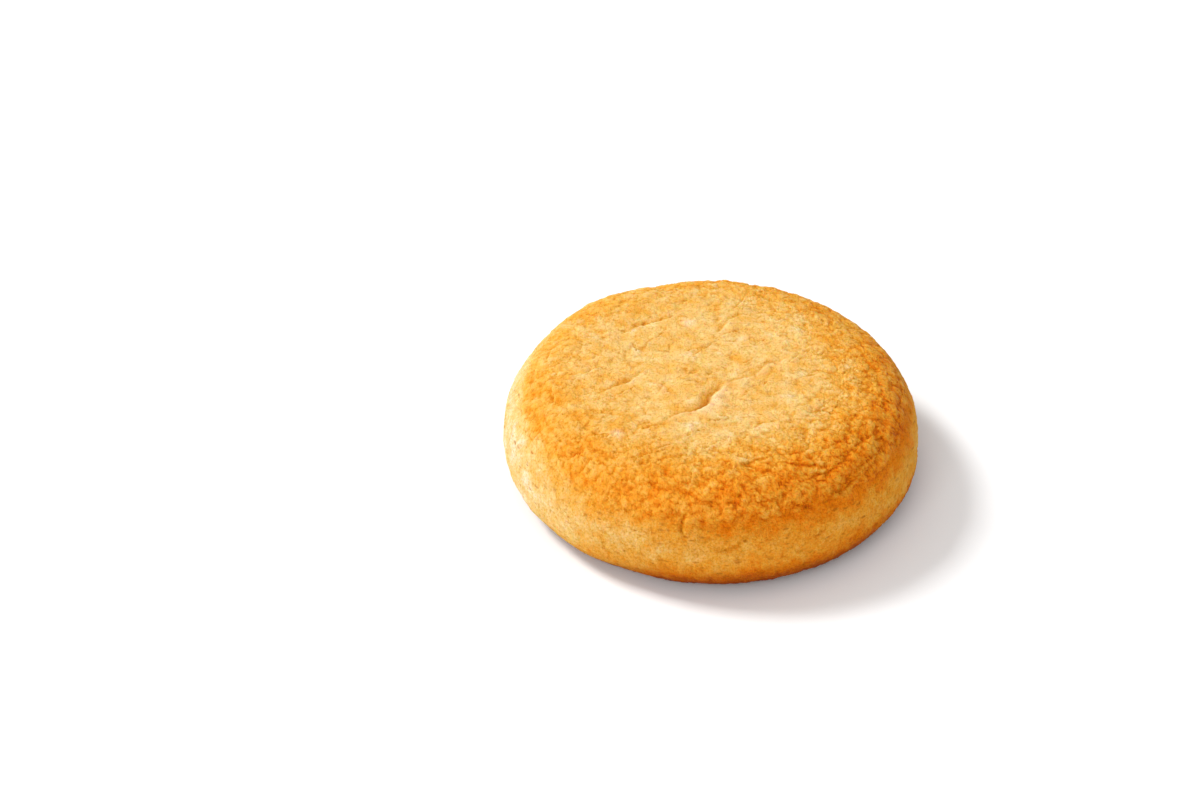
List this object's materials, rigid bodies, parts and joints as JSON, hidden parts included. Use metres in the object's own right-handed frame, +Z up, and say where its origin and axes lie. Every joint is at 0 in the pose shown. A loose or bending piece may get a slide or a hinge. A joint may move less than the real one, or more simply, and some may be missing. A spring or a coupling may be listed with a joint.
{
  "type": "osmania biscuit",
  "caption": "Thick round butter biscuit with a rounded wall, a granular golden crust and fine cracks across its flat top.",
  "frame": {"origin": "centre of the flat underside, on the surface that the biscuit stands on", "axes": "+Z up through the top; +X to the right and +Y away from the viewer in the picture"},
  "size_m": [0.0561, 0.0561, 0.0161],
  "materials": {
    "baked_dough": "matt golden baked crust, browner at the rim"
  },
  "bodies": {
    "root": {"biscuit": "baked_dough"}
  },
  "joints": []
}
